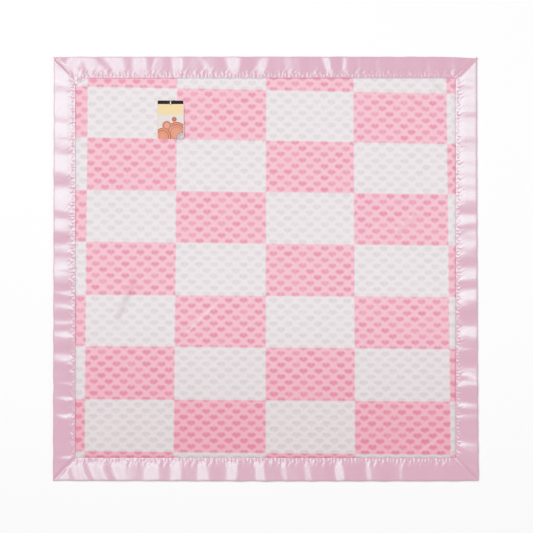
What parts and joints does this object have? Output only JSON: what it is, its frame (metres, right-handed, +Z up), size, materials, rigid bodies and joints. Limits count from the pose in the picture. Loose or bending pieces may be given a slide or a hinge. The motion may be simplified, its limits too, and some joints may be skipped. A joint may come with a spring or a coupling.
{
  "type": "comfort blanket",
  "caption": "Square plush comfort blanket lying flat, printed with a checkerboard of hearts, bound in folded satin with mitred corners, with a hang tag on a pin.",
  "frame": {"origin": "centre of the blanket's outline, on the surface it lies on", "axes": "+Z up, out of the printed front; +Y towards the edge nearest the hang tag; +X to the right, seen from above"},
  "size_m": [0.762, 0.762, 0.0087],
  "materials": {
    "front_plush": "short plush pile, printed in pink and off-white",
    "back_plush": "short plush pile",
    "satin": "glossy woven satin",
    "thread": "polyester sewing thread",
    "card": "coated card",
    "nylon": "clear moulded nylon"
  },
  "bodies": {
    "blanket": {"front_panel": "front_plush", "back_panel": "back_plush", "binding_top": "satin", "binding_right": "satin", "binding_bottom": "satin", "binding_left": "satin", "needle_thread_top": "thread", "needle_thread_right": "thread", "needle_thread_bottom": "thread", "needle_thread_left": "thread", "bobbin_thread_top": "thread", "bobbin_thread_right": "thread", "bobbin_thread_bottom": "thread", "bobbin_thread_left": "thread"},
    "tag_pin": {"tag_pin": "nylon"},
    "hang_tag": {"hang_tag": "card"}
  },
  "joints": [
    {"name": "tag_swivel", "type": "hinge", "parent": "blanket", "child": "tag_pin", "pos_m": [-0.1704, 0.2959, 0.0076], "axis": [0, 0, 1], "range_deg": [-120, 120]},
    {"name": "tag_lift", "type": "hinge", "parent": "tag_pin", "child": "hang_tag", "pos_m": [-0.1704, 0.3025, 0.0076], "axis": [-1, 0, 0], "range_deg": [0, 170], "deforming": ["tag_pin"]}
  ]
}
